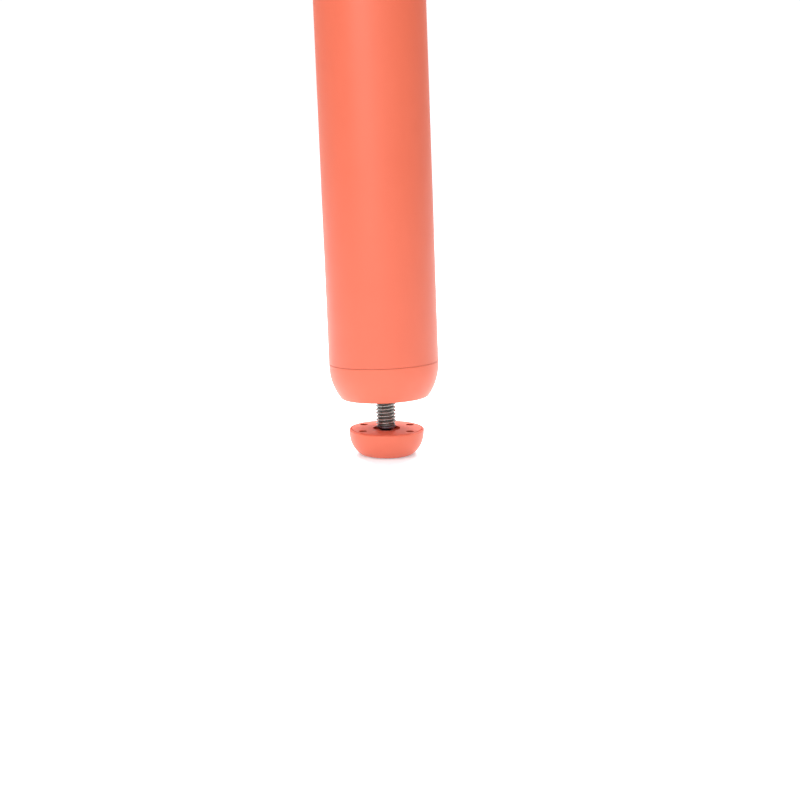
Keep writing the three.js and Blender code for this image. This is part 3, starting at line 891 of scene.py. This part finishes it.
def makeFootLid():
    # a thin lip stands over the mouth and the windows, which widen below it
    split = foot["pivot"] + clearance / 2
    mouthZ = foot["pivot"] + foot["mouthFloor"]
    openAngle = math.degrees(math.asin(foot["mouthFloor"] / foot["socket"]))
    socket = arcPoints(0, foot["pivot"], foot["socket"], foot["splitAngle"], openAngle, 8)
    top, bottom = foot["lidTop"], foot["lidBottom"]
    shelf = top - foot["lip"]
    mouth, mouthWide = foot["mouth"], foot["mouth"] + foot["mouthStep"]
    corners = [
        (socket[-1][0], socket[-1][1], 0), (mouthWide, mouthZ, 0.2),
        (mouthWide, shelf - foot["lipSlope"], 0.2), (mouth, shelf, 0.1), (mouth, top, 0.2),
        (foot["lid"], top, foot["lidRound"]), (foot["lid"], bottom, 0.15),
        (foot["boss"], bottom, 0.3), (foot["boss"], split, 0.15), (socket[0][0], split, 0),
    ]
    outline = socket[:-1] + roundCorners(corners, 6)
    obj = makePiece("footLid", spinMesh("footLid", scaled(outline), 192), footFrame, mouldedCoral)
    hole, wide, flare = foot["window"], foot["window"] + foot["windowStep"], foot["windowFlare"]
    cutter = scaled([
        (0, bottom - 1), (wide, bottom - 1), (wide, shelf - foot["lipSlope"]), (hole, shelf),
        (hole, top - flare), (hole + flare * 2, top + flare), (0, top + flare),
    ])
    cutters = []
    for side in (0, 180):
        for spread in (-foot["windowSpread"], foot["windowSpread"]):
            turn = Matrix.Rotation(math.radians(foot["windowAxis"] + side + spread), 4, "Z")
            place = footFrame @ turn @ Matrix.Translation((foot["windowReach"] * mm, 0, 0))
            cutters.append(looseSolid("windowCutter", spinMesh("windowCutter", cutter, 48), place))
    carve(obj, cutters)
    settle(obj, "foot", "moulded_coral", "glide_retainer")


def makePad():
    corners = [(foot["padIn"], 0, 0.15), (foot["padOut"], 0, 0.15),
               (foot["padOut"], foot["pad"], 0.1), (foot["padIn"], foot["pad"], 0.1)]
    mesh = spinMesh("solePad", scaled(roundCorners(corners, 4)))
    obj = makePiece("solePad", mesh, footFrame, rubber)
    settle(obj, "foot", "rubber", "sole_pad")


makeFootBase()
makeFootLid()
makePad()
print("foot built")


view = {
    "azimuth": 45.4, "elevation": 11.43, "distance": 0.773, "fov": 27.07,
    "side": 6.2 * mm, "height": 25.43 * mm,
}
studio = {
    "key": 3.0, "keySize": 0.6, "keyPlace": (-0.3, -0.8, 0.5),
    "back": 7.5, "backSize": 0.45, "backPlaces": ((-0.3, 0.6, 0.75), (0.25, 0.62, 0.75)),
    "floor": (0.80, 0.91, 0.94, 1), "floorSize": 6, "floorGap": 0.05 * mm,
    "floorGlow": (0.82, 0.95, 1, 1), "floorLight": 0.34,  # a sheet lit from below too
    "horizon": 0.76, "overhead": 0.95, "backdrop": 1.05,
    "flag": 0.14,  # dark boards to the left and right leave this share of the light
    "flagFrom": 0.3, "flagTo": 0.85,
}


def makeFloor():
    bm = bmesh.new()
    bmesh.ops.create_grid(bm, x_segments=2, y_segments=2, size=studio["floorSize"])
    mesh = bpy.data.meshes.new("studioFloor")
    bm.to_mesh(mesh)
    bm.free()
    obj = bpy.data.objects.new("studioFloor", mesh)
    bpy.context.scene.collection.objects.link(obj)
    obj.location = (pivot.x, 0, floorZ - studio["floorGap"])
    material, _, _, shader = startMaterial("studioWhite")
    shader.inputs["Base Color"].default_value = studio["floor"]
    shader.inputs["Roughness"].default_value = 0.6
    shader.inputs["Emission Color"].default_value = studio["floorGlow"]
    shader.inputs["Emission Strength"].default_value = studio["floorLight"]
    mesh.materials.append(material)
    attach(obj, "lower_seat")  # the ground stays under the foot when the stud is screwed in or out


def fromCamera(side, away, up):
    # a place given as metres to the camera's right, away from it and up, from the foot
    turn = math.radians(view["azimuth"])
    right = Vector((math.cos(turn), math.sin(turn), 0))
    back = Vector((-math.sin(turn), math.cos(turn), 0))
    return Vector((pivot.x, 0, floorZ)) + right * side + back * away + Vector((0, 0, up))


def aim(obj, target):
    obj.rotation_euler = (target - obj.location).to_track_quat("-Z", "Y").to_euler()


def addSoftBox(name, place, target, size, power):
    light = bpy.data.lights.new(name, "AREA")
    light.shape = "SQUARE"
    light.size = size
    light.energy = power
    obj = bpy.data.objects.new(name, light)
    bpy.context.scene.collection.objects.link(obj)
    obj.location = place
    aim(obj, target)


def makeStudio():
    middle = fromCamera(0, 0, 0.05)
    addSoftBox("keyLight", fromCamera(*studio["keyPlace"]), middle, studio["keySize"], studio["key"])
    for i, place in enumerate(studio["backPlaces"]):
        addSoftBox("backLight" + str(i), fromCamera(*place), middle, studio["backSize"], studio["back"])
    world = bpy.data.worlds.new("studio")
    bpy.context.scene.world = world
    world.use_nodes = True
    nodes, links = world.node_tree.nodes, world.node_tree.links
    background = nodes["Background"]
    background.inputs["Color"].default_value = (1, 1, 1, 1)
    where = nodes.new("ShaderNodeTexCoord")
    parts = nodes.new("ShaderNodeSeparateXYZ")
    links.new(where.outputs["Generated"], parts.inputs[0])
    upward = nodes.new("ShaderNodeMath")
    upward.operation = "MAXIMUM"
    upward.inputs[1].default_value = 0
    links.new(parts.outputs["Z"], upward.inputs[0])
    squared = nodes.new("ShaderNodeMath")
    squared.operation = "POWER"
    squared.inputs[1].default_value = 2
    links.new(upward.outputs[0], squared.inputs[0])
    sky = nodes.new("ShaderNodeMath")
    sky.operation = "MULTIPLY_ADD"
    sky.inputs[1].default_value = studio["overhead"]
    sky.inputs[2].default_value = studio["horizon"]
    links.new(squared.outputs[0], sky.inputs[0])
    across = nodes.new("ShaderNodeVectorMath")
    across.operation = "DOT_PRODUCT"
    turn = math.radians(view["azimuth"])
    across.inputs[1].default_value = (math.cos(turn), math.sin(turn), 0)
    links.new(where.outputs["Generated"], across.inputs[0])
    sideways = nodes.new("ShaderNodeMath")
    sideways.operation = "ABSOLUTE"
    links.new(across.outputs["Value"], sideways.inputs[0])
    flags = nodes.new("ShaderNodeMapRange")
    flags.interpolation_type = "SMOOTHSTEP"
    flags.inputs["From Min"].default_value = studio["flagFrom"]
    flags.inputs["From Max"].default_value = studio["flagTo"]
    flags.inputs["To Min"].default_value = 1
    flags.inputs["To Max"].default_value = studio["flag"]
    links.new(sideways.outputs[0], flags.inputs["Value"])
    flagged = nodes.new("ShaderNodeMath")
    flagged.operation = "MULTIPLY"
    links.new(sky.outputs[0], flagged.inputs[0])
    links.new(flags.outputs["Result"], flagged.inputs[1])
    path = nodes.new("ShaderNodeLightPath")
    seen = nodes.new("ShaderNodeMix")  # the backdrop itself shows as plain white paper
    seen.inputs["B"].default_value = studio["backdrop"]
    links.new(path.outputs["Is Camera Ray"], seen.inputs["Factor"])
    links.new(flagged.outputs[0], seen.inputs["A"])
    links.new(seen.outputs["Result"], background.inputs["Strength"])
    bpy.context.scene.view_settings.view_transform = "Standard"


def makeCamera():
    data = bpy.data.cameras.new("camera")
    data.angle = math.radians(view["fov"])
    data.clip_start = 0.01
    obj = bpy.data.objects.new("camera", data)
    bpy.context.scene.collection.objects.link(obj)
    target = fromCamera(view["side"], 0, view["height"])
    lift = math.radians(view["elevation"])
    back = view["distance"] * math.cos(lift)
    obj.location = fromCamera(view["side"], -back, view["height"] + view["distance"] * math.sin(lift))
    aim(obj, target)
    bpy.context.scene.camera = obj


makeFloor()
makeStudio()
makeCamera()
print("studio ready")
